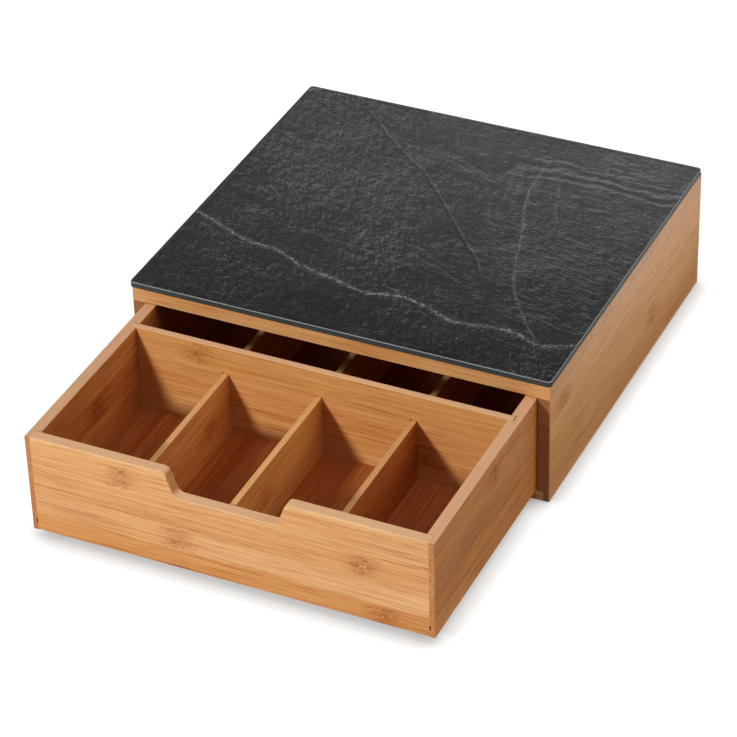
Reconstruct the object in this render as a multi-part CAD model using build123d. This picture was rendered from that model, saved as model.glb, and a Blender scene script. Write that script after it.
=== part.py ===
from build123d import *
import os

# Tea bag drawer box: a bamboo case under a slate-look glass pane, with one drawer
# that has eight compartments and a finger notch. Millimetres. The origin is the centre
# of the case's underside, +X is to the right, -Y is the front and +Z is up.

# Case
case_width = 310.0
case_depth = 290.0
side_height = 83.5
side_thickness = 9.0
top_thickness = 10.0
bottom_thickness = 7.2
back_thickness = 5.0
housing_depth = 4.5          # how far the bottom and the back reach into each side panel
case_arris = 0.9             # rounding of the case's outer edges
opening_arris = 0.5          # rounding of the edges round the drawer's opening

# Dowels between the top board and the side panels
dowel_diameter = 5.0
dowel_length = 18.0
dowel_in_top = 6.0           # how much of a dowel's length is in the top board
dowel_count = 4              # on each side
dowel_end_distance = 34.0    # from the case's front and back to the first and last dowel
dowel_play = 0.05            # radial clearance in the hole
dowel_end_play = 0.5         # spare depth at each end of the hole
dowel_chamfer = 0.6

# Glass pane, its print and its adhesive pads
glass_thickness = 3.8
print_thickness = 0.2
pad_thickness = 0.3
pad_diameter = 26.0
pad_inset = 38.0             # from the case's edges to the outer pads' centres
pad_rows = 2
pad_columns = 3
pane_overhang_left = 2.0
pane_inset_front = 0.3
pane_corner_radius = 3.0
pane_arris = 0.5

# Drawer
drawer_open = 167.5          # how far the drawer is pulled out at rest
drawer_side_play = 0.5       # running clearance on each side
drawer_under_play = 0.3      # between the drawer's underside and the bottom board
drawer_over_play = 0.5       # between the drawer's rim and the top board
drawer_back_play = 2.4       # behind the drawer when it is shut
drawer_wall = 8.4
corner_lip = 4.0             # what is left of a side outside the front's and the back's end
rim_arris = 0.7              # rounding along the rims of the walls
board_play = 0.1             # clearance on each face of a board in its groove

# Drawer floor
floor_thickness = 4.0
floor_rise = 5.0             # from the drawer's underside to the floor's underside
floor_tongue = 4.0           # how far the floor reaches into the walls
side_groove_spare = 1.4      # the side grooves are this much deeper than the tongue

# Finger notch in the drawer's front
notch_depth = 18.3
notch_floor_width = 73.0
notch_side_lean = 6.5        # how far each side of the notch leans out on its way up
notch_mouth_radius = 4.5
notch_floor_radius = 5.5

# Dividers
column_count = 4
cross_thickness = 5.2
cross_dado_depth = 4.0       # in the drawer's sides
cross_end_play = 0.7         # the cross divider is pushed home on the left, so it gapes on the right
divider_thickness = 4.4
divider_below_notch = 1.7    # from the notch's floor down to the dividers' tops
divider_in_wall = 3.0        # how far a divider reaches into the front or the back
divider_in_cross = 1.5       # how far it reaches into the cross divider
divider_left_play = 0.7      # each divider stands against the right wall of its dado
divider_top_play = 0.5
divider_end_play = 0.2
divider_arris = 0.5

# Places that follow from the sizes above
case_front = -case_depth / 2
case_back = case_depth / 2
case_right = case_width / 2
cavity_right = case_right - side_thickness
back_panel_front = case_back - back_thickness
top_of_case = side_height + top_thickness
print_bottom = top_of_case + pad_thickness
glass_bottom = print_bottom + print_thickness

drawer_right = cavity_right - drawer_side_play
drawer_bottom = bottom_thickness + drawer_under_play
drawer_rim = side_height - drawer_over_play
drawer_length = case_depth - back_thickness - drawer_back_play
drawer_front_face = case_front - drawer_open
drawer_back_face = drawer_front_face + drawer_length
inner_right = drawer_right - drawer_wall
inner_front = drawer_front_face + drawer_wall
inner_back = drawer_back_face - drawer_wall
floor_bottom = drawer_bottom + floor_rise
floor_top = floor_bottom + floor_thickness

row_length = (inner_back - inner_front - cross_thickness) / 2
cross_front = inner_front + row_length
cross_back = cross_front + cross_thickness
notch_floor = drawer_rim - notch_depth
notch_floor_right = notch_floor_width / 2
notch_mouth_right = notch_floor_right + notch_side_lean
divider_top = notch_floor - divider_below_notch
column_width = (2 * inner_right - (column_count - 1) * divider_thickness) / column_count
column_pitch = column_width + divider_thickness

os.makedirs("parts", exist_ok=True)


def save(part, name):
    export_step(part, f"parts/{name}.step")


def block(x_limits, y_limits, z_limits):
    # A box between two limits along each axis, given in either order.
    limits = (x_limits, y_limits, z_limits)
    size = [abs(b - a) for a, b in limits]
    centre = [(a + b) / 2 for a, b in limits]
    return Pos(*centre) * Box(*size)


def edges_at(part, x=None, y=None, z=None):
    # The edges whose middle lies at the coordinates that are given.
    wanted = (x, y, z)
    found = []
    for edge in part.edges():
        middle = edge.center()
        place = (middle.X, middle.Y, middle.Z)
        if all(want is None or abs(want - at) < 0.01 for want, at in zip(wanted, place)):
            found.append(edge)
    return ShapeList(found)


# --------------------------------------------------------------- case

def dowel_places():
    span = case_depth - 2 * dowel_end_distance
    pitch = span / (dowel_count - 1)
    return [case_front + dowel_end_distance + i * pitch for i in range(dowel_count)]


def dowel_holes():
    # Blind holes across the joint between the top board and both side panels.
    x = case_right - side_thickness / 2
    depth = dowel_length + 2 * dowel_end_play
    centre = side_height + dowel_in_top + dowel_end_play - depth / 2
    hole = Cylinder(dowel_diameter / 2 + dowel_play, depth)
    return [Pos(hand * x, y, centre) * hole for hand in (-1, 1) for y in dowel_places()]


def make_side_panel(hand):
    outer = hand * case_right
    inner = hand * cavity_right
    housing = hand * (cavity_right + housing_depth)
    panel = block((inner, outer), (case_front, case_back), (0, side_height))
    rounded = edges_at(panel, x=outer, y=case_front) + edges_at(panel, x=outer, y=case_back)
    panel = fillet(rounded + edges_at(panel, x=outer, z=0), case_arris)
    panel = fillet(edges_at(panel, x=inner, y=case_front), opening_arris)
    # Rebates for the bottom board and the back panel
    panel -= block((inner, housing), (case_front, case_back), (0, bottom_thickness))
    panel -= block((inner, housing), (back_panel_front, case_back), (0, side_height))
    return panel - dowel_holes()


def make_top_board():
    board = block((-case_right, case_right), (case_front, case_back), (side_height, top_of_case))
    board = fillet(board.edges().filter_by(Axis.Z), case_arris)
    # The lower front edge is eased only over the opening, between the side panels.
    cutter = block(
        (-cavity_right, cavity_right),
        (case_front, case_front + 2 * opening_arris),
        (side_height, side_height + 2 * opening_arris),
    )
    eased = fillet(edges_at(cutter, y=case_front, z=side_height), opening_arris)
    board = board - (cutter - eased)
    return board - dowel_holes()


def make_bottom_board():
    reach = cavity_right + housing_depth
    board = block((-reach, reach), (case_front, back_panel_front), (0, bottom_thickness))
    return fillet(edges_at(board, y=case_front, z=bottom_thickness), opening_arris)


def make_back_panel():
    reach = cavity_right + housing_depth
    return block((-reach, reach), (back_panel_front, case_back), (0, side_height))


def make_dowels():
    pin = Cylinder(dowel_diameter / 2, dowel_length)
    pin = chamfer(pin.edges(), dowel_chamfer)
    x = case_right - side_thickness / 2
    centre = side_height + dowel_in_top - dowel_length / 2
    return Compound(children=[Pos(hand * x, y, centre) * pin for hand in (-1, 1) for y in dowel_places()])


def make_pane(bottom, thickness, arris):
    # The pane and its print share one outline, which hangs over the case on the left.
    left = -case_right - pane_overhang_left
    front = case_front + pane_inset_front
    pane = block((left, case_right), (front, case_back), (bottom, bottom + thickness))
    pane = fillet(pane.edges().filter_by(Axis.Z), pane_corner_radius)
    if arris:
        pane = chamfer(pane.faces().sort_by(Axis.Z)[-1].edges(), arris)
    return pane


def make_adhesive_pads():
    x_span = case_width - 2 * pad_inset
    y_span = case_depth - 2 * pad_inset
    pad = Cylinder(pad_diameter / 2, pad_thickness)
    pads = []
    for i in range(pad_columns):
        for j in range(pad_rows):
            x = -x_span / 2 + i * x_span / (pad_columns - 1)
            y = -y_span / 2 + j * y_span / (pad_rows - 1)
            pads.append(Pos(x, y, top_of_case + pad_thickness / 2) * pad)
    return Compound(children=pads)


# --------------------------------------------------------------- drawer

def floor_groove_heights():
    return (floor_bottom - board_play, floor_top + board_play)


def divider_left(index):
    # The left face of divider 0, 1 or 2 of a row.
    return -inner_right + column_width + index * column_pitch


def divider_dados(y_limits):
    # Slots for one row's dividers, open at the bottom edge of the board that they are cut in.
    slots = []
    for i in range(column_count - 1):
        left = divider_left(i)
        slots.append(block(
            (left - divider_left_play, left + divider_thickness),
            y_limits,
            (drawer_bottom, divider_top + divider_top_play),
        ))
    return slots


def make_drawer_side(hand):
    outer = hand * drawer_right
    inner = hand * inner_right
    lip = hand * (drawer_right - corner_lip)
    side = block((inner, outer), (drawer_front_face, drawer_back_face), (drawer_bottom, drawer_rim))
    rounded = edges_at(side, x=outer, z=drawer_rim) + edges_at(side, x=inner, z=drawer_rim)
    rounded += edges_at(side, x=outer, z=drawer_bottom)
    rounded += edges_at(side, x=outer, y=drawer_front_face) + edges_at(side, x=outer, y=drawer_back_face)
    side = fillet(rounded, rim_arris)
    # Rebates that take the ends of the front and the back
    side -= block((inner, lip), (drawer_front_face, inner_front), (drawer_bottom, drawer_rim))
    side -= block((inner, lip), (inner_back, drawer_back_face), (drawer_bottom, drawer_rim))
    # The floor's groove runs out at both ends, where a small hole shows beside the lip.
    groove = hand * (inner_right + floor_tongue + side_groove_spare)
    side -= block((inner, groove), (drawer_front_face, drawer_back_face), floor_groove_heights())
    dado = hand * (inner_right + cross_dado_depth)
    dado_length = (cross_front - board_play, cross_back + board_play)
    return side - block((inner, dado), dado_length, (drawer_bottom, drawer_rim))


def cut_end_board(board, y_inner, inwards):
    # The floor's groove and the dividers' dados, in the face that looks into the drawer.
    reach = drawer_right - corner_lip
    groove_bottom = y_inner - inwards * (floor_tongue + divider_end_play)
    dado_bottom = y_inner - inwards * (divider_in_wall + divider_end_play)
    board -= block((-reach, reach), (y_inner, groove_bottom), floor_groove_heights())
    return board - divider_dados((y_inner, dado_bottom))


def make_drawer_front():
    reach = drawer_right - corner_lip
    outline = Polyline(
        (-reach, drawer_bottom),
        (reach, drawer_bottom),
        (reach, drawer_rim),
        (notch_mouth_right, drawer_rim),
        (notch_floor_right, notch_floor),
        (-notch_floor_right, notch_floor),
        (-notch_mouth_right, drawer_rim),
        (-reach, drawer_rim),
        close=True,
    )
    face = make_face(outline)
    mouth = [v for v in face.vertices() if abs(abs(v.X) - notch_mouth_right) < 0.01]
    face = fillet(ShapeList(mouth), notch_mouth_radius)
    corners = [v for v in face.vertices() if abs(v.Y - notch_floor) < 0.01]
    face = fillet(ShapeList(corners), notch_floor_radius)
    # The outline is drawn flat and stood up, with its face turned to the front.
    standing = Plane((0, inner_front, 0), x_dir=(1, 0, 0), z_dir=(0, -1, 0)) * face
    board = extrude(standing, amount=drawer_wall)
    # The rim and the notch are rounded on both faces, and the bottom edge only outside.
    rim = edges_at(board, y=drawer_front_face) + edges_at(board, y=inner_front)
    rim = rim.filter_by(lambda edge: abs(edge.center().X) < reach - 0.01)
    rim = rim.filter_by(lambda edge: edge.center().Z > notch_floor - 0.01)
    rim += edges_at(board, x=0, y=drawer_front_face, z=drawer_bottom)
    return cut_end_board(fillet(rim, rim_arris), inner_front, 1)


def make_drawer_back():
    reach = drawer_right - corner_lip
    board = block((-reach, reach), (inner_back, drawer_back_face), (drawer_bottom, drawer_rim))
    rounded = edges_at(board, x=0, z=drawer_rim) + edges_at(board, x=0, y=drawer_back_face, z=drawer_bottom)
    board = fillet(rounded, rim_arris)
    return cut_end_board(board, inner_back, -1)


def make_drawer_floor():
    reach = inner_right + floor_tongue
    return block(
        (-reach, reach),
        (inner_front - floor_tongue, inner_back + floor_tongue),
        (floor_bottom, floor_top),
    )


def make_cross_divider():
    left = -inner_right - cross_dado_depth
    right = inner_right + cross_dado_depth - cross_end_play
    board = block((left, right), (cross_front, cross_back), (floor_top, drawer_rim))
    board = fillet(board.edges().filter_by(Axis.X).group_by(Axis.Z)[-1], divider_arris)
    reach = divider_in_cross + divider_end_play
    board -= divider_dados((cross_front, cross_front + reach))
    return board - divider_dados((cross_back - reach, cross_back))


def make_divider(index, y_limits):
    left = divider_left(index)
    board = block((left, left + divider_thickness), y_limits, (floor_top, divider_top))
    return fillet(board.edges().filter_by(Axis.Y).group_by(Axis.Z)[-1], divider_arris)


# --------------------------------------------------------------- files

for hand, word in ((-1, "left"), (1, "right")):
    save(make_side_panel(hand), f"case_{word}_side")
    save(make_drawer_side(hand), f"drawer_{word}_side")

save(make_top_board(), "case_top_board")
save(make_bottom_board(), "case_bottom_board")
save(make_back_panel(), "case_back_panel")
save(make_dowels(), "top_board_dowels")
save(make_adhesive_pads(), "glass_adhesive_pads")
save(make_pane(print_bottom, print_thickness, 0), "slate_print")
save(make_pane(glass_bottom, glass_thickness, pane_arris), "glass_pane")

save(make_drawer_front(), "drawer_front")
save(make_drawer_back(), "drawer_back")
save(make_drawer_floor(), "drawer_floor")
save(make_cross_divider(), "cross_divider")

front_row = (inner_front - divider_in_wall, cross_front + divider_in_cross)
rear_row = (cross_back - divider_in_cross, inner_back + divider_in_wall)
for index in range(column_count - 1):
    save(make_divider(index, front_row), f"front_divider_{index + 1}")
    save(make_divider(index, rear_row), f"rear_divider_{index + 1}")

print("drawer: length", round(drawer_length, 2), "width", round(2 * drawer_right, 2))
print("compartment: width", round(column_width, 2), "length", round(row_length, 2))
print("divider height", round(divider_top - floor_top, 2), "floor top", round(floor_top, 2))
print("height over the glass", round(glass_bottom + glass_thickness, 2))
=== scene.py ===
import math
import bmesh
import bpy
from mathutils import Matrix, Vector


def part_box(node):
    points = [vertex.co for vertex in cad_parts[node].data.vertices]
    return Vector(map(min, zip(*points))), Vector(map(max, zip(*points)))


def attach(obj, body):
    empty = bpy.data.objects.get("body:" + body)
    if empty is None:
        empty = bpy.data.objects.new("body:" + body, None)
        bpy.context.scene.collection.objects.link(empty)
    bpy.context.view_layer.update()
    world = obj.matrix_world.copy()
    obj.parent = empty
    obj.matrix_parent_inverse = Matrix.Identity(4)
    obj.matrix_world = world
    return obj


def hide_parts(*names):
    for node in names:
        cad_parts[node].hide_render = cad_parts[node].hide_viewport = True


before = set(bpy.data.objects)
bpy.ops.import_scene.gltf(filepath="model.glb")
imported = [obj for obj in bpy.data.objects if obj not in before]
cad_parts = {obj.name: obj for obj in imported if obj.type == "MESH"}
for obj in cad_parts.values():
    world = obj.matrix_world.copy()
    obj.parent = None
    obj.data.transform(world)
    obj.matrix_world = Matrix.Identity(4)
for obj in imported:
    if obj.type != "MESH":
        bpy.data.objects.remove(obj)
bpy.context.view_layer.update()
print("frame loaded:", len(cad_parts), "nodes")


# small helpers for node trees
def addNode(tree, kind, inputs=None, **settings):
    node = tree.nodes.new(kind)
    for name, value in settings.items():
        setattr(node, name, value)
    for key, value in (inputs or {}).items():
        if isinstance(value, bpy.types.NodeSocket):
            tree.links.new(value, node.inputs[key])
        else:
            node.inputs[key].default_value = value
    return node


def calc(tree, operation, *values):
    return addNode(tree, "ShaderNodeMath", dict(enumerate(values)), operation=operation).outputs[0]


def plus(tree, first, second):
    return calc(tree, "ADD", first, second)


def minus(tree, first, second):
    return calc(tree, "SUBTRACT", first, second)


def times(tree, first, second):
    return calc(tree, "MULTIPLY", first, second)


def timesPlus(tree, first, second, extra):
    return calc(tree, "MULTIPLY_ADD", first, second, extra)


def remap(tree, value, low, high, newLow=0.0, newHigh=1.0, smooth=False):
    kind = "SMOOTHSTEP" if smooth else "LINEAR"
    inputs = {"Value": value, "From Min": low, "From Max": high, "To Min": newLow, "To Max": newHigh}
    return addNode(tree, "ShaderNodeMapRange", inputs, interpolation_type=kind).outputs["Result"]


def joinAxes(tree, x, y, z):
    return addNode(tree, "ShaderNodeCombineXYZ", {"X": x, "Y": y, "Z": z}).outputs[0]


def splitAxes(tree, vector):
    return addNode(tree, "ShaderNodeSeparateXYZ", {0: vector}).outputs


def objectPlace(tree):
    return addNode(tree, "ShaderNodeTexCoord").outputs["Object"]


def noise(tree, vector, detail=2.0, roughness=0.5, distortion=0.0):
    inputs = {"Vector": vector, "Scale": 1.0, "Detail": detail, "Roughness": roughness,
              "Distortion": distortion}
    return addNode(tree, "ShaderNodeTexNoise", inputs).outputs["Fac"]


def scaled(tree, vector, factor):
    return addNode(tree, "ShaderNodeVectorMath", {0: vector, 3: factor}, operation="SCALE").outputs[0]


def stretched(tree, axes, factors):
    return joinAxes(tree, *(times(tree, axis, factor) for axis, factor in zip(axes, factors)))


def ramp(tree, value, stops):
    node = addNode(tree, "ShaderNodeValToRGB", {"Fac": value})
    points = node.color_ramp.elements
    while len(points) < len(stops):
        points.new(0.5)
    for point, (place, colour) in zip(points, stops):
        point.position = place
        point.color = (*colour, 1.0)
    return node.outputs["Color"]


def mixColour(tree, factor, first, second, blend="MIX"):
    inputs = {0: factor, 6: first, 7: second}
    return addNode(tree, "ShaderNodeMix", inputs, data_type="RGBA", blend_type=blend).outputs[2]


def mixNumber(tree, factor, first, second):
    return addNode(tree, "ShaderNodeMix", {0: factor, 2: first, 3: second}, data_type="FLOAT").outputs[0]


def newGroup(name, inputs, outputs):
    group = bpy.data.node_groups.new(name, "ShaderNodeTree")
    for label in inputs:
        group.interface.new_socket(label, in_out="INPUT", socket_type="NodeSocketFloat")
    for label, kind in outputs:
        group.interface.new_socket(label, in_out="OUTPUT", socket_type="NodeSocket" + kind)
    return group, group.nodes.new("NodeGroupInput").outputs, group.nodes.new("NodeGroupOutput").inputs


def addGroup(tree, group, inputs):
    node = addNode(tree, "ShaderNodeGroup", node_tree=group)
    for label, value in inputs.items():
        if isinstance(value, bpy.types.NodeSocket):
            tree.links.new(value, node.inputs[label])
        else:
            node.inputs[label].default_value = value
    return node.outputs


def newMaterial(name):
    material = bpy.data.materials.new(name)
    material.use_nodes = True
    tree = material.node_tree
    shader = next(n for n in tree.nodes if n.type == "BSDF_PRINCIPLED")
    return material, tree, shader


def materialOutput(tree):
    return next(n for n in tree.nodes if n.type == "OUTPUT_MATERIAL").inputs["Surface"]


def paint(obj, material):
    obj.data.materials.clear()
    obj.data.materials.append(material)


def addObject(name, data):
    obj = bpy.data.objects.new(name, data)
    bpy.context.scene.collection.objects.link(obj)
    return obj


# bamboo: strips about 18 mm wide, glued side by side, with fibres and a few knuckles
bambooLook = {
    "stripWidth": 0.0185,                      # seen on a board's face
    "layerDepth": 0.0046,                      # seen on a board's edge
    "layerShift": 1.0,
    "baseValue": 0.60,
    "stripContrast": 0.11,
    "broadStreaks": (4.0, 190.0, 3.0, 0.55),   # scale along, scale across, detail, roughness
    "broadAmount": 0.32,
    "fibreStreaks": (11.0, 820.0, 3.0, 0.66),
    "fibreAmount": 0.80,
    "lineStreaks": (26.0, 1400.0, 2.0, 0.6),
    "lineRange": (0.55, 0.68),                 # the noise that turns into a dark line
    "lineAmount": 0.36,
    "cloudScale": (9.0, 14.0, 14.0),
    "cloudDetail": 2.0,
    "cloudAmount": 0.20,
    "seamRange": (0.030, 0.008),               # part of a strip's width
    "seamScale": 9.0,
    "seamDetail": 1.0,
    "seamShown": (0.48, 0.62),                 # the glue line shows only in places
    "seamAmount": 0.16,
    "dark": (0.270, 0.075, 0.016),
    "brown": (0.490, 0.192, 0.051),
    "honey": (0.625, 0.304, 0.100),
    "straw": (0.765, 0.465, 0.215),
    "stops": (0.05, 0.33, 0.60, 0.95),         # where these four colours stand
    "hueSpread": (0.497, 0.503),
    "saturationSpread": (0.98, 1.03),
    "seedStep": 1.37,
    "firstSeed": 2.0,
    "slideByTint": 4.0,                        # the fibres start afresh in each strip
    "slideBySeed": 1.7,
    "roughness": 0.42,
    "fibreRoughness": 0.30,
    "knuckleRoughness": 0.12,
    "specular": 0.40,
    "coat": 0.05,
    "coatRoughness": 0.22,
    "relief": 0.00012,
    "reliefStrength": 0.6,
    "lineDepth": 0.5,
    "knuckleRise": 0.4,
    "seamDepth": 0.8,
    "rimFacing": (0.35, 0.90),                 # how far a face looks up where it counts as a rim
    "rimPaintedLightShare": 0.56,
    "endFacing": (0.80, 0.95),
}
knuckleLook = {
    "length": 0.0100,
    "darkness": 0.36,
    "bendScale": (190.0, 90.0),
    "bendDetail": 2.0,
    "bend": 0.0075,
    "stripShare": (0.52, 0.36),                # the mark stays inside its strip
    "waveScale": (190.0, 430.0, 120.0),
    "waveNoise": (3.0, 0.65, 1.6),             # detail, roughness, distortion
    "waveRange": (0.40, 0.60),
    "faintest": 0.12,
    "ridgeOffset": 0.0016,
    "ridgeRange": (0.0012, 0.0003),
    "ridgeBroken": (0.42, 0.54),
    "ridgeDarkness": 0.75,
    "swirl": 0.0150,
}


def makeKnuckleGroup():
    look = knuckleLook
    labels = ["Along", "Across", "Depth", "Place", "Height"]
    group, given, out = newGroup("knuckleMark", labels, [("Mark", "Float"), ("Swirl", "Float")])
    along, across, depth, place, height = given[:5]
    acrossScale, placeScale = look["bendScale"]
    bendPlace = joinAxes(group, 0.0, times(group, across, acrossScale), times(group, place, placeScale))
    bend = times(group, minus(group, noise(group, bendPlace, look["bendDetail"]), 0.5), look["bend"])
    offset = minus(group, plus(group, along, bend), place)
    rise = calc(group, "ABSOLUTE", minus(group, across, height))
    outer, inner = (bambooLook["stripWidth"] * share for share in look["stripShare"])
    inStrip = remap(group, rise, outer, inner, smooth=True)
    near = calc(group, "DIVIDE", offset, look["length"])
    bell = calc(group, "EXPONENT", times(group, times(group, near, near), -1.0))
    bell = times(group, bell, inStrip)
    wavy = noise(group, stretched(group, (along, across, depth), look["waveScale"]), *look["waveNoise"])
    smudge = times(group, bell, remap(group, wavy, *look["waveRange"], look["faintest"], 1.0))
    ridge = calc(group, "ABSOLUTE", plus(group, offset, look["ridgeOffset"]))
    ridge = times(group, remap(group, ridge, *look["ridgeRange"], smooth=True), inStrip)
    ridge = times(group, ridge, remap(group, wavy, *look["ridgeBroken"]))
    mark = calc(group, "MAXIMUM", smudge, times(group, ridge, look["ridgeDarkness"]))
    group.links.new(mark, out["Mark"])
    swirl = times(group, minus(group, wavy, 0.5), times(group, bell, look["swirl"]))
    group.links.new(swirl, out["Swirl"])
    return group


def makeGrainGroup():
    look = bambooLook
    labels = ["Along", "Across", "Depth", "Strip Line", "Tone", "Seed", "Mark", "Swirl"]
    results = [("Color", "Color"), ("Roughness", "Float"), ("Height", "Float")]
    group, given, out = newGroup("bambooGrain", labels, results)
    along, across, depth, stripLine, tone, seed, mark, swirl = given[:8]
    # the strips and the layers, each with its own random shade
    stripPlace = calc(group, "DIVIDE", minus(group, across, stripLine), look["stripWidth"])
    stripNumber = calc(group, "FLOOR", stripPlace)
    layerPlace = calc(group, "DIVIDE", plus(group, depth, look["layerShift"]), look["layerDepth"])
    layerNumber = calc(group, "FLOOR", layerPlace)
    cell = joinAxes(group, stripNumber, layerNumber, seed)
    picked = addNode(group, "ShaderNodeTexWhiteNoise", {"Vector": cell}, noise_dimensions="3D").outputs
    tints = addNode(group, "ShaderNodeSeparateColor", {"Color": picked["Color"]}).outputs
    slide = plus(group, along, times(group, tints[0], look["slideByTint"]))
    slide = plus(group, slide, times(group, seed, look["slideBySeed"]))
    side = plus(group, across, swirl)

    def streaks(alongScale, acrossScale, detail, roughness):
        vector = stretched(group, (slide, side, depth), (alongScale, acrossScale, acrossScale))
        return noise(group, vector, detail, roughness)

    broad = streaks(*look["broadStreaks"])
    fibre = streaks(*look["fibreStreaks"])
    lines = streaks(*look["lineStreaks"])
    cloud = noise(group, stretched(group, (slide, across, depth), look["cloudScale"]), look["cloudDetail"])
    value = plus(group, tone, look["baseValue"])
    shares = ((picked["Value"], look["stripContrast"]), (broad, look["broadAmount"]),
              (fibre, look["fibreAmount"]), (cloud, look["cloudAmount"]))
    for part, amount in shares:
        value = timesPlus(group, minus(group, part, 0.5), amount, value)
    darkLine = remap(group, lines, *look["lineRange"])
    value = timesPlus(group, darkLine, -look["lineAmount"], value)
    edge = calc(group, "PINGPONG", stripPlace, 0.5)
    seam = remap(group, edge, *look["seamRange"], smooth=True)
    seamPlace = joinAxes(group, times(group, along, look["seamScale"]), stripNumber, seed)
    seamNoise = noise(group, seamPlace, look["seamDetail"])
    seam = times(group, seam, remap(group, seamNoise, *look["seamShown"]))
    value = timesPlus(group, seam, -look["seamAmount"], value)
    value = timesPlus(group, mark, -knuckleLook["darkness"], value)
    colours = (look["dark"], look["brown"], look["honey"], look["straw"])
    colour = ramp(group, value, list(zip(look["stops"], colours)))
    hue = remap(group, tints[1], 0.0, 1.0, *look["hueSpread"])
    strength = remap(group, tints[2], 0.0, 1.0, *look["saturationSpread"])
    shift = {"Hue": hue, "Saturation": strength, "Color": colour}
    group.links.new(addNode(group, "ShaderNodeHueSaturation", shift).outputs[0], out["Color"])
    rough = timesPlus(group, minus(group, 0.5, fibre), look["fibreRoughness"], look["roughness"])
    rough = timesPlus(group, mark, look["knuckleRoughness"], rough)
    group.links.new(rough, out["Roughness"])
    height = plus(group, fibre, times(group, mark, look["knuckleRise"]))
    height = timesPlus(group, darkLine, -look["lineDepth"], height)
    height = timesPlus(group, seam, -look["seamDepth"], height)
    group.links.new(height, out["Height"])
    return group


knuckleGroup = makeKnuckleGroup()
grainGroup = makeGrainGroup()


def makeBamboo(name, board, seed):
    look = bambooLook
    material, tree, shader = newMaterial(name)
    place = splitAxes(tree, objectPlace(tree))
    along, across, depth = (place[letter] for letter in board["axes"])
    mark, swirl = 0.0, 0.0
    for knucklePlace, knuckleHeight in board["knuckles"]:
        knuckle = addGroup(tree, knuckleGroup, {"Along": along, "Across": across, "Depth": depth,
                                                "Place": knucklePlace, "Height": knuckleHeight})
        mark = plus(tree, mark, knuckle["Mark"])
        swirl = plus(tree, swirl, knuckle["Swirl"])
    grain = addGroup(tree, grainGroup, {"Along": along, "Across": across, "Depth": depth,
                                        "Strip Line": board["glueLine"], "Tone": board["tone"],
                                        "Seed": seed, "Mark": mark, "Swirl": swirl})
    bump = addNode(tree, "ShaderNodeBump", {"Height": grain["Height"], "Distance": look["relief"],
                                            "Strength": look["reliefStrength"]})
    facing = splitAxes(tree, addNode(tree, "ShaderNodeNewGeometry").outputs["Normal"])
    # painted shade: the tint makes the boards inside the drawer and the drawer's right side redder
    colour = mixColour(tree, 1.0, grain["Color"], (*board["paintedShadeTint"], 1.0), "MULTIPLY")
    # upward faces take the rim colour: partly the paler milled edge, partly painted light
    if board["rim"]:
        rim = remap(tree, facing["Z"], *look["rimFacing"], smooth=True)
        rimColourAndPaintedLight = mixColour(tree, look["rimPaintedLightShare"], colour, (*board["rim"], 1.0))
        colour = mixColour(tree, rim, colour, rimColourAndPaintedLight)
    endGrain = remap(tree, calc(tree, "ABSOLUTE", facing[board["axes"][0]]), *look["endFacing"])
    colour = mixColour(tree, endGrain, colour, (*board["endShade"], 1.0), "MULTIPLY")
    tree.links.new(colour, shader.inputs["Base Color"])
    tree.links.new(grain["Roughness"], shader.inputs["Roughness"])
    tree.links.new(bump.outputs[0], shader.inputs["Normal"])
    shader.inputs["Specular IOR Level"].default_value = look["specular"]
    shader.inputs["Coat Weight"].default_value = look["coat"]
    shader.inputs["Coat Roughness"].default_value = look["coatRoughness"]
    return material
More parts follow.
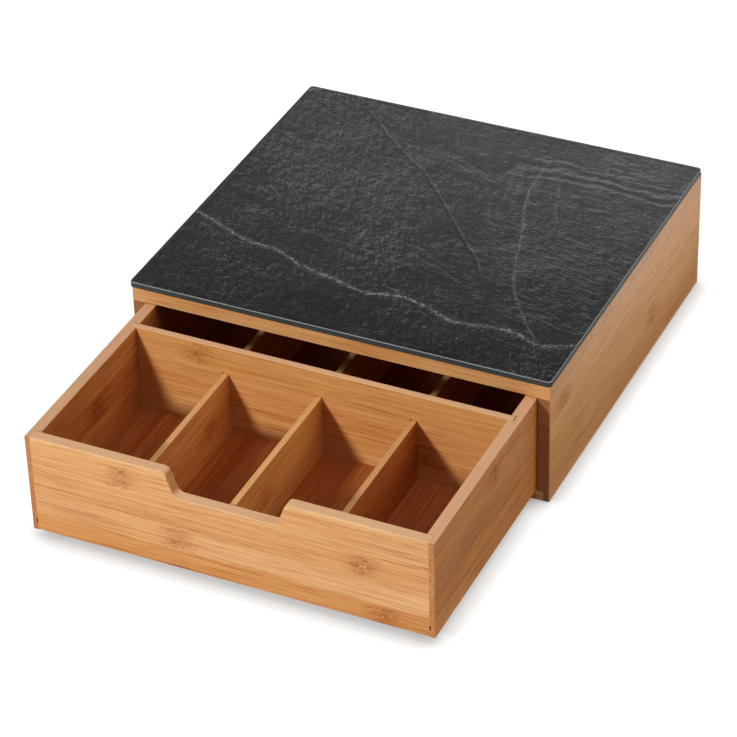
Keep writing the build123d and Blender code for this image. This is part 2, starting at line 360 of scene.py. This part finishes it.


# axes: along, across and through the grain; glueLine: where one runs; knuckles: places along and across
# rim: the milled top edge's colour, paler partly as painted light; the tint and a low tone: redder and darker
# inside the drawer and on its right side, as painted shade; endShade: the ends are darker, on the case sides
# partly as painted shade
# rim colours: the milled edge's colour, paled further as painted light on the upward faces
sandedRimAndPaintedLight = (0.930, 0.620, 0.400)
goldenRimAndPaintedLight = (0.880, 0.540, 0.230)
# painted light: the rear dividers' rims lie in shade under the top board, yet are coloured pale as if lit
rearRimWithPaintedLight = (1.00, 0.70, 0.34)
# the case sides' front ends: darker end grain, deepened further as painted shade beside the drawer
darkEndAndShade = (0.50, 0.38, 0.32)
# painted shade: the rear dividers, in shade under the top board, are tinted redder
rearPaintedShadeTint = (1.04, 0.90, 0.76)
plainBoard = {"tone": 0.0, "knuckles": [], "rim": None, "paintedShadeTint": (1.0, 1.0, 1.0),
              "endShade": (0.88, 0.88, 0.88)}
bambooBoards = {
    "case_left_side": {
        "axes": "YZX", "glueLine": 0.0610, "endShade": darkEndAndShade,
        "knuckles": [(-0.062, 0.0518), (0.088, 0.0333)]},
    "case_right_side": {
        "axes": "YZX", "glueLine": 0.0795, "endShade": darkEndAndShade,
        "knuckles": [(-0.121, 0.0702), (0.046, 0.0333)]},
    "case_top_board": {
        "axes": "XYZ", "glueLine": -0.1265, "tone": 0.04,
        "knuckles": [(-0.110, -0.1358), (0.138, -0.1358), (0.020, -0.0618)]},
    "case_bottom_board": {
        "axes": "XYZ", "glueLine": -0.1300,
        "knuckles": [(-0.060, -0.0653), (0.085, 0.0642), (-0.020, 0.1013)]},
    "case_back_panel": {
        "axes": "XZY", "glueLine": 0.0450, "tone": -0.02, "knuckles": [(0.064, 0.0543), (-0.090, 0.0173)]},
    "drawer_front": {
        "axes": "XZY", "glueLine": 0.0410, "tone": 0.03, "rim": sandedRimAndPaintedLight,
        "knuckles": [(-0.076, 0.0688), (-0.037, 0.0318), (0.0955, 0.0503), (0.110, 0.0133)]},
    # painted shade: darker and redder inside the drawer
    "drawer_left_side": {
        "axes": "YZX", "glueLine": 0.0450, "tone": -0.20, "rim": sandedRimAndPaintedLight, "paintedShadeTint": (1.00, 0.80, 0.68),
        "knuckles": [(-0.232, 0.0543), (-0.120, 0.0358)]},
    # painted shade: the drawer's shaded right side is darker and redder
    "drawer_right_side": {
        "axes": "YZX", "glueLine": 0.0595, "tone": -0.15, "rim": sandedRimAndPaintedLight, "paintedShadeTint": (1.00, 0.91, 0.85),
        "knuckles": [(-0.218, 0.0688), (-0.090, 0.0318)]},
    "drawer_back": {
        "axes": "XZY", "glueLine": 0.0430, "tone": -0.01, "rim": sandedRimAndPaintedLight, "knuckles": [(0.050, 0.0523)]},
    # painted shade: the drawer floor is made much darker and redder, as it lies in the compartments' shade
    "drawer_floor": {
        "axes": "YXZ", "glueLine": 0.0090, "tone": -0.48, "paintedShadeTint": (0.96, 0.76, 0.68),
        "knuckles": [(-0.250, 0.0367), (-0.200, -0.0928), (-0.110, 0.0923), (-0.280, 0.1107)]},
    "cross_divider": {
        "axes": "XZY", "glueLine": 0.0640, "tone": 0.06, "rim": sandedRimAndPaintedLight, "paintedShadeTint": (1.04, 0.96, 0.88),
        "knuckles": [(-0.0905, 0.0733), (0.078, 0.0363)]},
    "front_divider_1": {
        "axes": "YZX", "glueLine": 0.0470, "tone": 0.02, "rim": goldenRimAndPaintedLight, "paintedShadeTint": (1.06, 0.86, 0.68),
        "knuckles": [(-0.205, 0.0378)]},
    "front_divider_2": {
        "axes": "YZX", "glueLine": 0.0505, "tone": 0.04, "rim": goldenRimAndPaintedLight, "paintedShadeTint": (1.08, 0.94, 0.76),
        "knuckles": [(-0.262, 0.0413)]},
    # painted shade: darker and redder
    "front_divider_3": {
        "axes": "YZX", "glueLine": 0.0440, "tone": -0.28, "rim": goldenRimAndPaintedLight, "paintedShadeTint": (0.96, 0.70, 0.56)},
    "rear_divider_1": {
        "axes": "YZX", "glueLine": 0.0485, "tone": 0.01, "rim": rearRimWithPaintedLight, "paintedShadeTint": rearPaintedShadeTint,
        "knuckles": [(-0.130, 0.0393)]},
    "rear_divider_2": {
        "axes": "YZX", "glueLine": 0.0455, "tone": -0.01, "rim": rearRimWithPaintedLight, "paintedShadeTint": rearPaintedShadeTint},
    "rear_divider_3": {
        "axes": "YZX", "glueLine": 0.0520, "tone": 0.02, "rim": rearRimWithPaintedLight, "paintedShadeTint": rearPaintedShadeTint,
        "knuckles": [(-0.080, 0.0428)]},
}

for number, (nodeName, board) in enumerate(bambooBoards.items()):
    seed = number * bambooLook["seedStep"] + bambooLook["firstSeed"]
    paint(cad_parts[nodeName], makeBamboo("bamboo_" + nodeName, {**plainBoard, **board}, seed))
print("bamboo boards finished:", len(bambooBoards))


# slate-look print: dark stone with fine diagonal ripples, pale veins and a long crease
slateLook = {
    "dark": (0.0022, 0.0023, 0.0025),
    "stone": (0.0134, 0.0141, 0.0161),
    "pale": (0.0930, 0.0975, 0.1090),
    "stops": (0.05, 0.42, 0.95),
    "veinColour": (0.330, 0.342, 0.352),
    "baseValue": 0.31,
    "patchScale": 14.0,
    "patchNoise": (3.0, 0.55),             # detail, roughness
    "patchAmount": 0.30,
    "lightStep": (-0.00060, 0.00060),      # the printed relief is lit from the back left
    "reliefGain": 8.5,
    "backByRight": 0.45,                   # how much further right counts as further back
    "reliefByBack": (-0.16, 0.10, 0.45, 1.15),
    # painted shade: the print is darker towards the front
    "paintedShadeByBack": (-0.12, 0.06, -0.08, 0.02),
    "jitterScale": 230.0,
    "jitterNoise": (5.0, 0.75),
    "brokenScale": 210.0,
    "brokenNoise": (4.0, 0.70),
    "roughness": 0.62,
    "specular": 0.25,
    "belowGlass": 0.00002,
    "weldReach": 1e-6,
    "topReach": 1e-5,
    "paneHalf": 0.160,                     # the lines are drawn within this reach
}
# each noise layer: its turn in degrees, scale along and across, detail, roughness, distortion, level
slateRelief = {
    "diagonal": (-50, 120.0, 250.0, 5.0, 0.58, 0.35, 1.0),
    "levelRipples": (-18, 90.0, 240.0, 5.0, 0.60, 0.6, 4.0),
    "slow": (-38, 16.0, 42.0, 3.0, 0.55, 0.8, 7.0),
    "pits": (10, 520.0, 520.0, 2.0, 0.6, 0.0, 9.0),
    "where": (35, 7.0, 7.0, 1.0, 0.5, 0.0, 12.0),
    "strength": (-30, 11.0, 15.0, 2.0, 0.5, 0.0, 15.0),
    "bandWaver": (0, 26.0, 26.0, 2.0, 0.5, 0.0, 21.0),
    "diagonalAmount": 1.6,
    "slowAmount": 2.0,
    "pitAmount": 0.22,
    "rightWeight": 2.4,
    "backWeight": 1.6,
    "rightBackRange": (0.35, 0.85),        # the ripples lie flatter at the back right
    "strengthRange": (0.35, 0.70, 0.55, 1.30),
    "bandWaverAmount": 0.030,
    "bandShift": -0.012,
    "bandMiddle": 0.106,
    "bandReach": (0.020, 0.004),
    "bandStart": (0.010, 0.070),
    "bandWaves": 620.0,
    "bandAmount": 0.22,
}
# each vein's points are (x, y) in metres on the pane, with its half width and how pale it is
slateVeins = {
    "mainVein": {"along": "X", "half": 0.0009, "pale": 0.85, "wobble": 0.0068, "points": [
        (-0.156, -0.044), (-0.136, -0.052), (-0.108, -0.064), (-0.081, -0.068), (-0.058, -0.079),
        (-0.031, -0.085), (-0.001, -0.092), (0.019, -0.088), (0.039, -0.091), (0.066, -0.101),
        (0.086, -0.099), (0.106, -0.097), (0.132, -0.105), (0.145, -0.100), (0.155, -0.096)]},
    "crossVein": {"along": "Y", "half": 0.0006, "pale": 0.55, "wobble": 0.0055, "points": [
        (0.126, -0.100), (0.116, -0.089), (0.102, -0.069), (0.092, -0.054), (0.084, -0.036),
        (0.074, -0.006), (0.066, 0.023), (0.057, 0.048), (0.052, 0.068), (0.050, 0.115)]},
    "shortVein": {"along": "Y", "half": 0.0005, "pale": 0.35, "wobble": 0.0050, "points": [
        (0.087, 0.038), (0.079, 0.051), (0.074, 0.068), (0.067, 0.088)]},
    "faintVein": {"along": "X", "half": 0.0005, "pale": 0.26, "wobble": 0.0055, "points": [
        (-0.149, -0.017), (-0.124, -0.024), (-0.094, -0.035), (-0.054, -0.040), (-0.018, -0.045),
        (0.006, -0.050), (0.032, -0.057)]},
    "leftScratch": {"along": "X", "half": 0.0006, "pale": 0.38, "wobble": 0.0012, "points": [
        (-0.124, 0.008), (-0.117, 0.002), (-0.109, -0.005)]},
    "rightScratch": {"along": "X", "half": 0.0006, "pale": 0.38, "wobble": 0.0012, "points": [
        (-0.118, 0.016), (-0.108, 0.011), (-0.098, 0.001)]},
}
veinLook = {"coreShare": 0.15, "glowReach": 4.5, "glow": 0.10, "fade": 0.004,
            "brokenRange": (0.40, 0.58, 0.12, 1.0)}
slateCrease = {
    "half": 0.0022, "wobble": 0.0030, "fade": 0.008, "lipPlace": 1.5, "groove": 0.85, "lip": 0.62,
    "grooveBroken": (0.35, 0.6, 0.25, 1.0), "lipBroken": (0.35, 0.6, 0.35, 1.0),
    "points": [
        (-0.106, 0.131), (-0.089, 0.116), (-0.073, 0.100), (-0.051, 0.081), (-0.028, 0.063), (-0.011, 0.045),
        (0.006, 0.025), (0.026, 0.001), (0.039, -0.014), (0.052, -0.029), (0.059, -0.040)]}


def pathLine(tree, position, points):
    # a float curve that gives the line's place across for a place along, both in metres
    half = slateLook["paneHalf"]
    node = addNode(tree, "ShaderNodeFloatCurve", {"Factor": 1.0})
    curve = node.mapping.curves[0]
    spots = sorted(((a + half) / (2 * half), (b + half) / (2 * half)) for a, b in points)
    curve.points[0].location = spots[0]
    curve.points[1].location = spots[-1]
    for spot in spots[1:-1]:
        curve.points.new(*spot)
    node.mapping.update()
    tree.links.new(remap(tree, position, -half, half), node.inputs["Value"])
    return timesPlus(tree, node.outputs[0], 2 * half, -half)


def withinEnds(tree, position, points, fade):
    low = min(p[0] for p in points)
    high = max(p[0] for p in points)
    enter = remap(tree, position, low - fade, low + fade, smooth=True)
    leave = remap(tree, position, high + fade, high - fade, smooth=True)
    return times(tree, enter, leave)


def makeSlateReliefGroup():
    look = slateRelief
    group, given, out = newGroup("slateRelief", ["X", "Y"], [("Height", "Float")])
    x, y = given[:2]

    def layer(name):
        angle, alongScale, acrossScale, detail, roughness, distortion, level = look[name]
        cosine = math.cos(math.radians(angle))
        sine = math.sin(math.radians(angle))
        forward = plus(group, times(group, x, cosine), times(group, y, sine))
        sideways = minus(group, times(group, y, cosine), times(group, x, sine))
        vector = joinAxes(group, times(group, forward, alongScale), times(group, sideways, acrossScale), level)
        return noise(group, vector, detail, roughness, distortion)

    backward = timesPlus(group, y, look["backWeight"], layer("where"))
    rightBack = timesPlus(group, x, look["rightWeight"], backward)
    share = remap(group, rightBack, *look["rightBackRange"], smooth=True)
    diagonal = times(group, layer("diagonal"), look["diagonalAmount"])
    ripples = mixNumber(group, share, diagonal, layer("levelRipples"))
    height = times(group, ripples, remap(group, layer("strength"), *look["strengthRange"]))
    height = timesPlus(group, layer("slow"), look["slowAmount"], height)
    height = timesPlus(group, layer("pits"), look["pitAmount"], height)
    # a wavy band crosses the back right
    band = timesPlus(group, layer("bandWaver"), look["bandWaverAmount"], plus(group, y, look["bandShift"]))
    waves = calc(group, "SINE", times(group, band, look["bandWaves"]))
    fromMiddle = calc(group, "ABSOLUTE", minus(group, band, look["bandMiddle"]))
    bandHere = remap(group, fromMiddle, *look["bandReach"], smooth=True)
    bandHere = times(group, bandHere, remap(group, x, *look["bandStart"], smooth=True))
    height = timesPlus(group, times(group, waves, bandHere), look["bandAmount"], height)
    group.links.new(height, out["Height"])
    return group


def makeSlatePrint():
    look = slateLook
    material, tree, shader = newMaterial("slate_look_print")
    place = splitAxes(tree, objectPlace(tree))
    x, y = place["X"], place["Y"]
    reliefGroup = makeSlateReliefGroup()

    def reliefAt(stepX, stepY):
        return addGroup(tree, reliefGroup, {"X": plus(tree, x, stepX), "Y": plus(tree, y, stepY)})["Height"]

    here = reliefAt(0.0, 0.0)
    lit = reliefAt(*look["lightStep"])
    slope = times(tree, minus(tree, here, lit), look["reliefGain"])
    position = joinAxes(tree, x, y, 0.0)
    patches = noise(tree, scaled(tree, position, look["patchScale"]), *look["patchNoise"])
    value = timesPlus(tree, minus(tree, patches, 0.5), look["patchAmount"], look["baseValue"])
    # the relief is calmer in front than at the back right, and the print is darker in front as painted shade
    toBack = plus(tree, y, times(tree, x, look["backByRight"]))
    value = timesPlus(tree, slope, remap(tree, toBack, *look["reliefByBack"]), value)
    value = plus(tree, value, remap(tree, toBack, *look["paintedShadeByBack"]))
    jitter = noise(tree, scaled(tree, position, look["jitterScale"]), *look["jitterNoise"])
    jitter = minus(tree, jitter, 0.5)
    broken = noise(tree, scaled(tree, position, look["brokenScale"]), *look["brokenNoise"])

    def gapTo(points, wobble, alongPlace, acrossPlace):
        line = pathLine(tree, alongPlace, points)
        return minus(tree, timesPlus(tree, jitter, wobble * 2, acrossPlace), line)

    # the crease: a dark groove with a paler lip behind it
    crease = slateCrease
    gap = gapTo(crease["points"], crease["wobble"], x, y)
    inside = withinEnds(tree, x, crease["points"], crease["fade"])
    toLip = plus(tree, gap, -crease["half"] * crease["lipPlace"])
    for distance, brokenRange, amount in ((gap, crease["grooveBroken"], -crease["groove"]),
                                          (toLip, crease["lipBroken"], crease["lip"])):
        mark = remap(tree, calc(tree, "ABSOLUTE", distance), crease["half"], 0.0, smooth=True)
        mark = times(tree, times(tree, mark, inside), remap(tree, broken, *brokenRange))
        value = timesPlus(tree, mark, amount, value)
    colour = ramp(tree, value, list(zip(look["stops"], (look["dark"], look["stone"], look["pale"]))))
    for vein in slateVeins.values():
        alongX = vein["along"] == "X"
        alongPlace, acrossPlace = (x, y) if alongX else (y, x)
        points = vein["points"] if alongX else [(b, a) for a, b in vein["points"]]
        half = vein["half"]
        gap = calc(tree, "ABSOLUTE", gapTo(points, vein["wobble"], alongPlace, acrossPlace))
        core = remap(tree, gap, half, half * veinLook["coreShare"], smooth=True)
        core = times(tree, core, remap(tree, broken, *veinLook["brokenRange"]))
        glow = remap(tree, gap, half * veinLook["glowReach"], 0.0, smooth=True)
        shown = calc(tree, "MAXIMUM", core, times(tree, glow, veinLook["glow"]))
        shown = times(tree, shown, withinEnds(tree, alongPlace, points, veinLook["fade"]))
        colour = mixColour(tree, times(tree, shown, vein["pale"]), colour, (*look["veinColour"], 1.0))
    tree.links.new(colour, shader.inputs["Base Color"])
    shader.inputs["Roughness"].default_value = look["roughness"]
    shader.inputs["Specular IOR Level"].default_value = look["specular"]
    return material


def makePrintSheet():
    # the print's own sheet, with its upper face just clear of the glass
    sheet = addObject("slate_print_sheet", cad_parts["slate_print"].data.copy())
    mesh = bmesh.new()
    mesh.from_mesh(sheet.data)
    bmesh.ops.remove_doubles(mesh, verts=mesh.verts, dist=slateLook["weldReach"])
    top = max(v.co.z for v in mesh.verts)
    for vertex in mesh.verts:
        if vertex.co.z > top - slateLook["topReach"]:
            vertex.co.z = top - slateLook["belowGlass"]
    mesh.to_mesh(sheet.data)
    mesh.free()
    paint(sheet, makeSlatePrint())
    return sheet


printSheet = makePrintSheet()
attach(printSheet, "case")
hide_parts("slate_print")
print("slate-look print finished")


# glass pane: clear, faintly green, with smoothly ground edges
glassLook = {
    "tint": (0.975, 0.985, 0.982),
    "groundEdge": (0.025, 0.038, 0.037),
    "groundSpread": (0.75, 1.35),     # how far its shade varies
    "grindScale": 900.0,
    "grindNoise": (3.0, 0.6),         # detail, roughness
    "edgeFacing": (0.85, 0.55),       # upward share of the normal where the ground edge begins and is full
    "roughness": 0.03,
    "edgeRoughness": 0.60,
    "ior": 1.5,
}


def makePaneGlass():
    look = glassLook
    material, tree, shader = newMaterial("pane_glass")
    upright = splitAxes(tree, addNode(tree, "ShaderNodeNewGeometry").outputs["Normal"])["Z"]
    edge = remap(tree, calc(tree, "ABSOLUTE", upright), *look["edgeFacing"], smooth=True)
    grinding = noise(tree, scaled(tree, objectPlace(tree), look["grindScale"]), *look["grindNoise"])
    shades = [(*(c * factor for c in look["groundEdge"]), 1.0) for factor in look["groundSpread"]]
    ground = mixColour(tree, grinding, *shades)
    tree.links.new(mixColour(tree, edge, (*look["tint"], 1.0), ground), shader.inputs["Base Color"])
    rough = remap(tree, edge, 0.0, 1.0, look["roughness"], look["edgeRoughness"])
    tree.links.new(rough, shader.inputs["Roughness"])
    tree.links.new(minus(tree, 1.0, edge), shader.inputs["Transmission Weight"])
    shader.inputs["IOR"].default_value = look["ior"]
    # lamp light goes straight through to the print
    clear = addNode(tree, "ShaderNodeBsdfTransparent", {"Color": (*look["tint"], 1.0)}).outputs[0]
    shadowRay = addNode(tree, "ShaderNodeLightPath").outputs["Is Shadow Ray"]
    both = addNode(tree, "ShaderNodeMixShader", {0: shadowRay, 1: shader.outputs[0], 2: clear})
    tree.links.new(both.outputs[0], materialOutput(tree))
    return material


paint(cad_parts["glass_pane"], makePaneGlass())
print("glass pane finished")


# dowels and adhesive dots, made by geometry nodes
def newGeometryTree(name, inputs):
    tree = bpy.data.node_groups.new(name, "GeometryNodeTree")
    for label, kind in inputs:
        tree.interface.new_socket(label, in_out="INPUT", socket_type="NodeSocket" + kind)
    tree.interface.new_socket("Geometry", in_out="OUTPUT", socket_type="NodeSocketGeometry")
    return tree, tree.nodes.new("NodeGroupInput").outputs, tree.nodes.new("NodeGroupOutput").inputs


def repeatOnGrid(tree, given, out, piece, scale):
    # the piece is narrowed by scale, set on a grid around the middle and given its material
    place = splitAxes(tree, addNode(tree, "GeometryNodeInputPosition").outputs[0])
    moved = joinAxes(tree, times(tree, place["X"], scale), times(tree, place["Y"], scale), place["Z"])
    shaped = addNode(tree, "GeometryNodeSetPosition", {"Geometry": piece, "Position": moved}).outputs[0]
    grid = addNode(tree, "GeometryNodeMeshGrid", {"Size X": given["Width"], "Size Y": given["Length"],
                                                  "Vertices X": given["Columns"], "Vertices Y": given["Rows"]})
    lifted = addNode(tree, "GeometryNodeTransform", {"Geometry": grid.outputs["Mesh"],
                                                     "Translation": given["Middle"]}).outputs[0]
    placed = addNode(tree, "GeometryNodeInstanceOnPoints", {"Points": lifted, "Instance": shaped}).outputs[0]
    real = addNode(tree, "GeometryNodeRealizeInstances", {"Geometry": placed}).outputs[0]
    coloured = addNode(tree, "GeometryNodeSetMaterial", {"Geometry": real, "Material": given["Material"]})
    tree.links.new(coloured.outputs[0], out["Geometry"])


def bakeGeometry(name, tree, values):
    holder = addObject(name + "_holder", bpy.data.meshes.new(name + "_holder"))
    modifier = holder.modifiers.new("build", "NODES")
    modifier.node_group = tree
    for item in tree.interface.items_tree:
        if item.in_out == "INPUT":
            modifier[item.identifier] = values[item.name]
    bpy.context.view_layer.update()
    evaluated = holder.evaluated_get(bpy.context.evaluated_depsgraph_get())
    mesh = bpy.data.meshes.new_from_object(evaluated)
    bpy.data.objects.remove(holder)
    return addObject(name, mesh)


gridInputs = [("Width", "Float"), ("Length", "Float"), ("Columns", "Int"), ("Rows", "Int"),
              ("Middle", "Vector"), ("Material", "Material")]


def gridValues(nodeName, radius, columns, rows, material):
    low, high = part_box(nodeName)
    size = high - low
    return size.z, {"Width": size.x - 2 * radius, "Length": size.y - 2 * radius, "Columns": columns,
                    "Rows": rows, "Middle": (low + high) / 2, "Material": material}


dowelLook = {
    "radius": 0.0025, "flutes": 14, "fluteDepth": 0.10, "chamfer": 0.0006, "columns": 2, "rows": 4,
    "vertexPerFlute": 4.0, "sideSegments": 30, "fillSegments": 2,
    "grainScale": (900.0, 900.0, 60.0), "grainNoise": (3.0, 0.6), "grainRange": (0.3, 0.7),
    "shade": (0.42, 0.24, 0.12), "beech": (0.66, 0.45, 0.27), "roughness": (0.75, 0.6),
}
dotLook = {
    "radius": 0.013, "bulge": 0.03, "columns": 3, "rows": 2,
    "vertices": 72, "sideSegments": 6, "fillSegments": 3,
    "cloudScale": 260.0, "cloudDetail": 2.0, "cloudRange": (0.3, 0.7),
    "shade": (0.62, 0.63, 0.60), "pale": (0.78, 0.79, 0.76), "roughness": (0.25, 0.4),
}


def makeDowelWood():
    look = dowelLook
    material, tree, shader = newMaterial("dowel_beech")
    place = splitAxes(tree, objectPlace(tree))
    vector = stretched(tree, (place["X"], place["Y"], place["Z"]), look["grainScale"])
    grain = noise(tree, vector, *look["grainNoise"])
    colour = ramp(tree, grain, list(zip(look["grainRange"], (look["shade"], look["beech"]))))
    tree.links.new(colour, shader.inputs["Base Color"])
    tree.links.new(remap(tree, grain, *look["grainRange"], *look["roughness"]), shader.inputs["Roughness"])
    return material


def makeAdhesive():
    look = dotLook
    material, tree, shader = newMaterial("clear_adhesive")
    cloud = noise(tree, scaled(tree, objectPlace(tree), look["cloudScale"]), look["cloudDetail"])
    colour = ramp(tree, cloud, list(zip(look["cloudRange"], (look["shade"], look["pale"]))))
    tree.links.new(colour, shader.inputs["Base Color"])
    tree.links.new(remap(tree, cloud, *look["cloudRange"], *look["roughness"]), shader.inputs["Roughness"])
    return material


def makeDowels():
    look = dowelLook
    tree, given, out = newGeometryTree("flutedDowelRows", [
        ("Radius", "Float"), ("Height", "Float"), ("Chamfer", "Float"), ("Flutes", "Int"),
        ("Flute Depth", "Float"), *gridInputs])
    sides = times(tree, given["Flutes"], look["vertexPerFlute"])
    rod = addNode(tree, "GeometryNodeMeshCylinder", {
        "Vertices": sides, "Side Segments": look["sideSegments"], "Fill Segments": look["fillSegments"],
        "Radius": given["Radius"], "Depth": given["Height"]})
    place = splitAxes(tree, addNode(tree, "GeometryNodeInputPosition").outputs[0])
    angle = calc(tree, "ARCTAN2", place["Y"], place["X"])
    wave = calc(tree, "COSINE", times(tree, angle, given["Flutes"]))
    groove = times(tree, timesPlus(tree, wave, -0.5, 0.5), given["Flute Depth"])
    toEnd = minus(tree, times(tree, given["Height"], 0.5), calc(tree, "ABSOLUTE", place["Z"]))
    missing = calc(tree, "MAXIMUM", minus(tree, given["Chamfer"], toEnd), 0.0)
    taper = minus(tree, 1.0, calc(tree, "DIVIDE", missing, given["Radius"]))
    repeatOnGrid(tree, given, out, rod.outputs["Mesh"], times(tree, minus(tree, 1.0, groove), taper))
    height, values = gridValues("top_board_dowels", look["radius"], look["columns"], look["rows"],
                                makeDowelWood())
    values.update({"Radius": look["radius"], "Height": height, "Chamfer": look["chamfer"],
                   "Flutes": look["flutes"], "Flute Depth": look["fluteDepth"]})
    return bakeGeometry("fluted_dowels", tree, values)


def makeAdhesiveDots():
    look = dotLook
    tree, given, out = newGeometryTree("adhesiveDotGrid", [
        ("Radius", "Float"), ("Thickness", "Float"), ("Bulge", "Float"), *gridInputs])
    disc = addNode(tree, "GeometryNodeMeshCylinder", {
        "Vertices": look["vertices"], "Side Segments": look["sideSegments"],
        "Fill Segments": look["fillSegments"], "Radius": given["Radius"], "Depth": given["Thickness"]})
    place = splitAxes(tree, addNode(tree, "GeometryNodeInputPosition").outputs[0])
    level = calc(tree, "DIVIDE", place["Z"], given["Thickness"])
    drawnIn = times(tree, times(tree, level, level), times(tree, given["Bulge"], 4.0))   # most at both faces
    repeatOnGrid(tree, given, out, disc.outputs["Mesh"], minus(tree, 1.0, drawnIn))
    thickness, values = gridValues("glass_adhesive_pads", look["radius"], look["columns"], look["rows"],
                                   makeAdhesive())
    values.update({"Radius": look["radius"], "Thickness": thickness, "Bulge": look["bulge"]})
    return bakeGeometry("adhesive_dots", tree, values)


dowels = makeDowels()
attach(dowels, "case")
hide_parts("top_board_dowels")
dots = makeAdhesiveDots()
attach(dots, "case")
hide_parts("glass_adhesive_pads")
print("dowels and adhesive dots built")


# floor, light and camera
floorLook = {
    "size": 8.0,
    "level": -0.0001,                # just clear of the underside
    "albedo": 0.86,
    "seenAlbedo": 0.30,              # the camera sees a darker floor with an even lift on top
    "lift": 0.93,
    "contactReach": 0.017,           # how far the contact shadow spreads
    "contactSamples": 8,
    "gleam": 1.20,                   # what gloss sees of the bright floor, in front and at the back right
    "gleamFront": (-0.32, -0.36),
    "gleamRight": (0.165, 0.215),
    "gleamRightBack": (-0.15, 0.16),
}
worldLook = {
    "level": 0.05,
    "seen": 1.0,
    "backdropLow": 0.52,             # what gloss sees near the horizon and higher up
    "backdropHigh": 0.02,
    "backdropDegrees": (30.5, 35.5),
    "sideRange": (-0.43, -0.27),
    "leftShare": 0.26,               # the backdrop is darker to the left
    "rightShare": 0.78,
}
lamps = {
    "frontLeftKey": {"place": (-0.38, -1.58, 0.66), "aim": (0.0, -0.15, 0.06), "size": (0.13, 0.13),
                     "watts": 16.8, "colour": (1.0, 1.0, 0.985), "mirrored": True},
    "rightFill": {"place": (1.38, 0.28, 0.92), "aim": (0.05, -0.05, 0.05), "size": (1.00, 0.80),
                  "watts": 9.8, "colour": (1.0, 0.93, 0.85), "mirrored": True},
    "overheadSoft": {"place": (0.30, -0.42, 1.50), "aim": (0.0, -0.15, 0.05), "size": (0.60, 0.60),
                     "watts": 5.8, "colour": (1.0, 0.95, 0.88), "mirrored": True},
    "backLeftFill": {"place": (-1.30, 1.10, 0.80), "aim": (0.0, 0.0, 0.05), "size": (1.00, 0.80),
                     "watts": 9.0, "colour": (1.0, 0.99, 0.97), "mirrored": False},
}
photoCamera = {"place": (0.7809, -1.7176, 1.3004), "aim": (0.0089, -0.1144, 0.0500), "roll": -1.71,
               "lens": 155.3, "sensor": 36.0, "clip": (0.05, 50.0)}


def makeFloor():
    look = floorLook
    half, low = look["size"] / 2, look["level"]
    corners = [(-half, -half, low), (half, -half, low), (half, half, low), (-half, half, low)]
    mesh = bpy.data.meshes.new("floor")
    mesh.from_pydata(corners, [], [(0, 1, 2, 3)])
    floor = addObject("floor", mesh)
    material, tree, shader = newMaterial("floor_white")
    shader.inputs["Roughness"].default_value = 1.0
    shader.inputs["Specular IOR Level"].default_value = 0.0
    rays = addNode(tree, "ShaderNodeLightPath").outputs
    looking = calc(tree, "MAXIMUM", rays["Is Camera Ray"], rays["Is Glossy Ray"])
    pale = remap(tree, looking, 0.0, 1.0, look["albedo"], look["seenAlbedo"])
    tree.links.new(pale, shader.inputs["Base Color"])
    contact = addNode(tree, "ShaderNodeAmbientOcclusion", {"Distance": look["contactReach"]},
                      samples=look["contactSamples"])
    seen = times(tree, times(tree, rays["Is Camera Ray"], look["lift"]), contact.outputs["AO"])
    place = splitAxes(tree, objectPlace(tree))
    inFront = remap(tree, place["Y"], *look["gleamFront"], smooth=True)
    atRight = times(tree, remap(tree, place["X"], *look["gleamRight"], smooth=True),
                    remap(tree, place["Y"], *look["gleamRightBack"], smooth=True))
    gleam = times(tree, calc(tree, "MAXIMUM", inFront, atRight), look["gleam"])
    gleam = times(tree, gleam, rays["Is Glossy Ray"])
    glow = addNode(tree, "ShaderNodeEmission", {"Strength": plus(tree, seen, gleam)}).outputs[0]
    total = addNode(tree, "ShaderNodeAddShader", {0: shader.outputs[0], 1: glow}).outputs[0]
    tree.links.new(total, materialOutput(tree))
    paint(floor, material)


def makeWorld():
    look = worldLook
    world = bpy.data.worlds.new("studio")
    bpy.context.scene.world = world
    world.use_nodes = True
    tree = world.node_tree
    background = next(n for n in tree.nodes if n.type == "BACKGROUND")
    rays = addNode(tree, "ShaderNodeLightPath").outputs
    direction = splitAxes(tree, addNode(tree, "ShaderNodeTexCoord").outputs["Generated"])
    low, high = (math.sin(math.radians(angle)) for angle in look["backdropDegrees"])
    backdrop = remap(tree, direction["Z"], low, high, look["backdropLow"], look["backdropHigh"], smooth=True)
    share = remap(tree, direction["X"], *look["sideRange"], look["leftShare"], look["rightShare"])
    unseen = mixNumber(tree, rays["Is Glossy Ray"], look["level"], times(tree, backdrop, share))
    strength = mixNumber(tree, rays["Is Camera Ray"], unseen, look["seen"])
    tree.links.new(strength, background.inputs["Strength"])
    background.inputs["Color"].default_value = (1.0, 1.0, 1.0, 1.0)


def aimed(place, aim, roll=0.0):
    away = Vector(place) - Vector(aim)
    turn = away.to_track_quat("Z", "Y").to_matrix().to_4x4()
    return Matrix.Translation(place) @ turn @ Matrix.Rotation(math.radians(roll), 4, "Z")


def makeLamps():
    for name, lamp in lamps.items():
        data = bpy.data.lights.new(name, "AREA")
        data.shape = "RECTANGLE"
        data.size, data.size_y = lamp["size"]
        data.energy = lamp["watts"]
        data.color = lamp["colour"]
        light = addObject(name, data)
        light.matrix_world = aimed(lamp["place"], lamp["aim"])
        light.visible_glossy = lamp["mirrored"]   # whether the pane mirrors it
        light.visible_transmission = lamp["mirrored"]


def makeCamera():
    look = photoCamera
    data = bpy.data.cameras.new("photoCamera")
    data.lens = look["lens"]
    data.sensor_width = look["sensor"]
    data.clip_start, data.clip_end = look["clip"]
    camera = addObject("photoCamera", data)
    camera.matrix_world = aimed(look["place"], look["aim"], look["roll"])
    bpy.context.scene.camera = camera


makeFloor()
makeWorld()
makeLamps()
makeCamera()
bpy.context.scene.view_settings.view_transform = "Standard"
print("floor, lamps and camera set")
